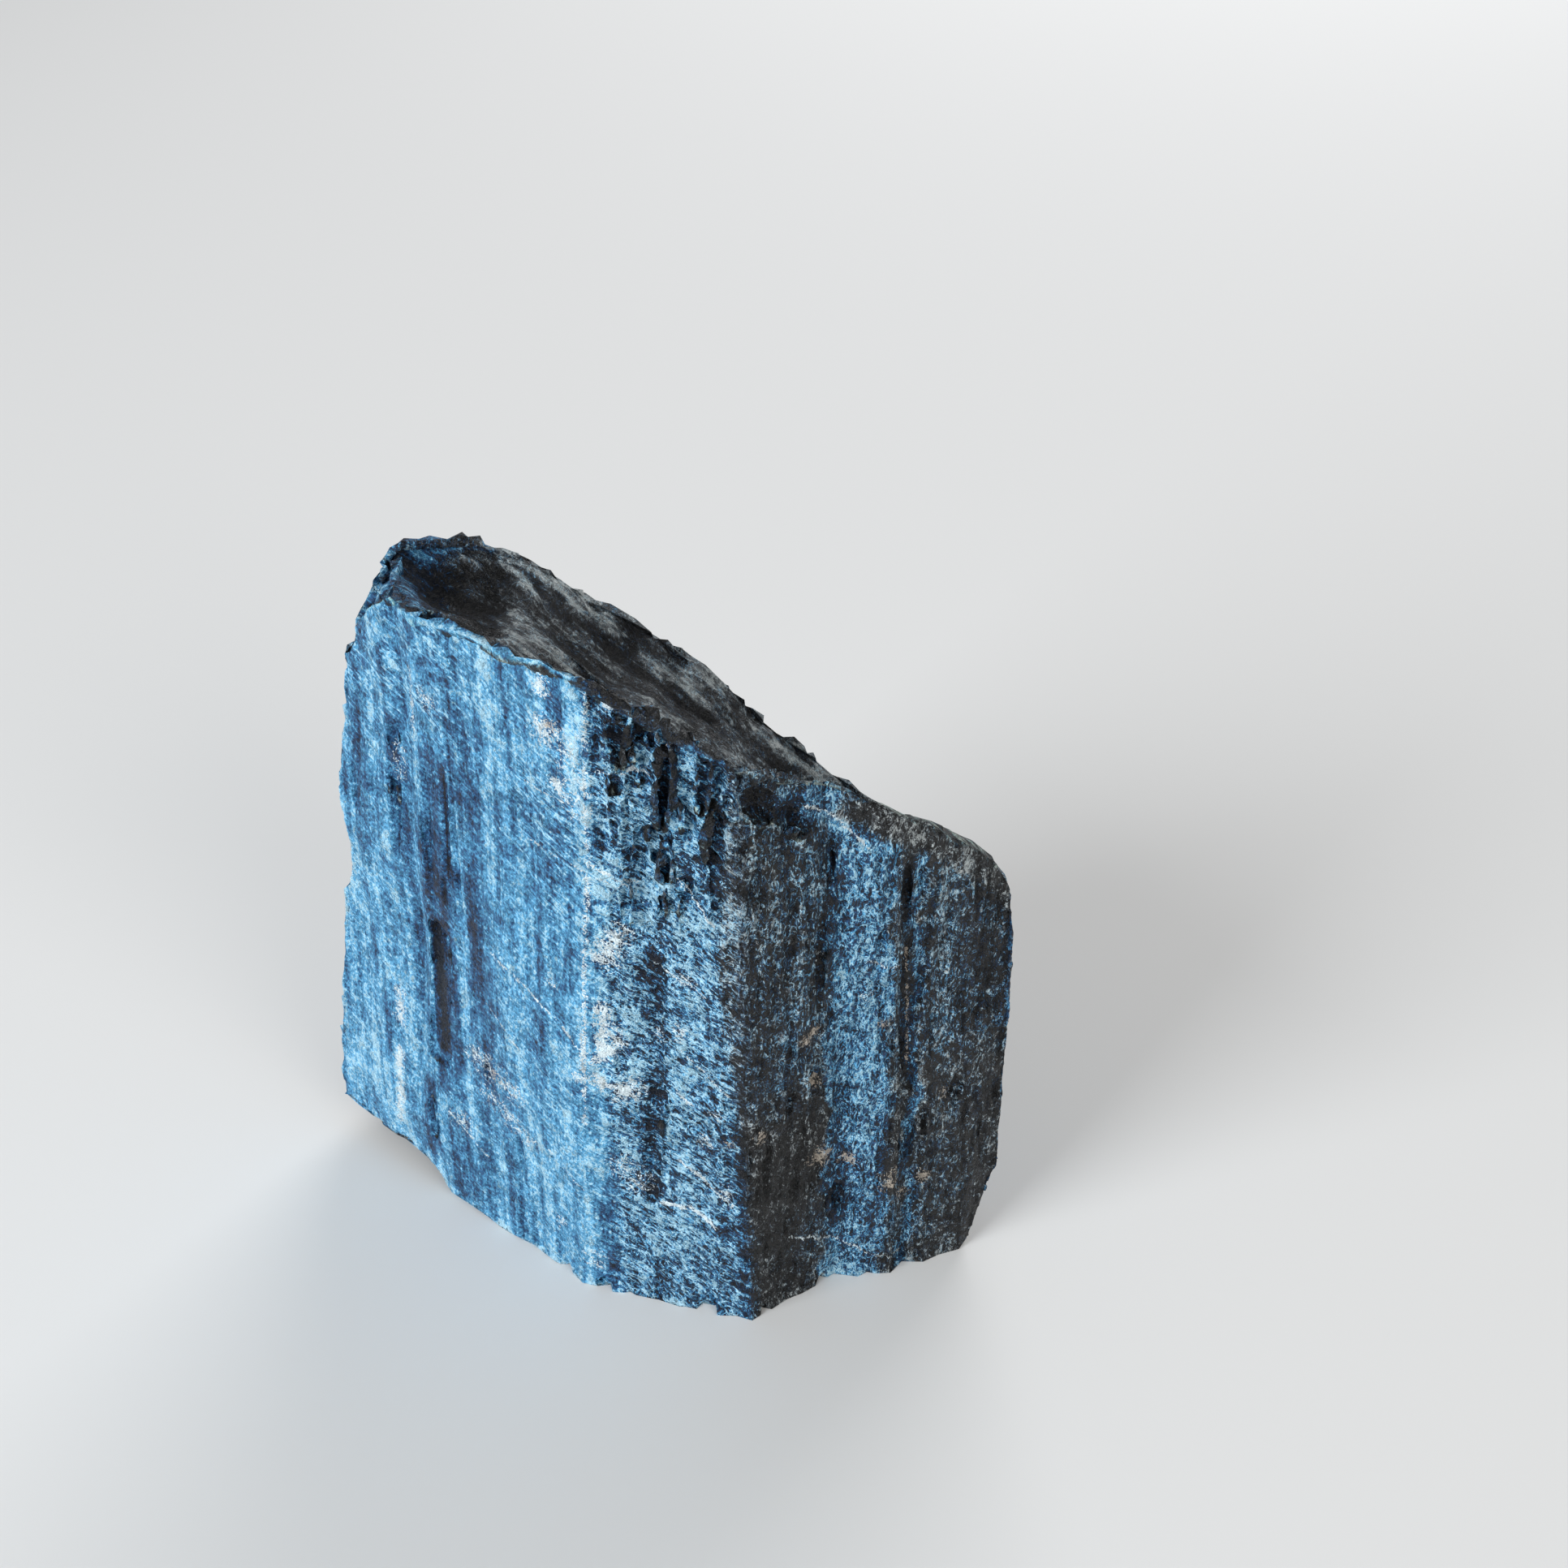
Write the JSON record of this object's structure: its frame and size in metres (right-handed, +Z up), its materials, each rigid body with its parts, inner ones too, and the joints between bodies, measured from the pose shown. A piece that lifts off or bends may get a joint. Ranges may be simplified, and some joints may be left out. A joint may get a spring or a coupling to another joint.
{
  "type": "black tourmaline specimen",
  "caption": "Broken chunk of black tourmaline with striated prism faces, a raised front rim and a rough top, standing on its underside.",
  "frame": {"origin": "centre of the bounding box, at the bottom, on the surface the stone stands on", "axes": "+Z up, along the crystal's striations; +X right and +Y back, seen from the front corner between the two large prism faces"},
  "size_m": [0.0558, 0.0374, 0.0575],
  "materials": {
    "tourmaline": "near-black vitreous crystal, finely striated along its height, with cool frosted sheen on the prism faces and dull broken ends"
  },
  "bodies": {
    "root": {"tourmaline": "tourmaline"}
  },
  "joints": []
}
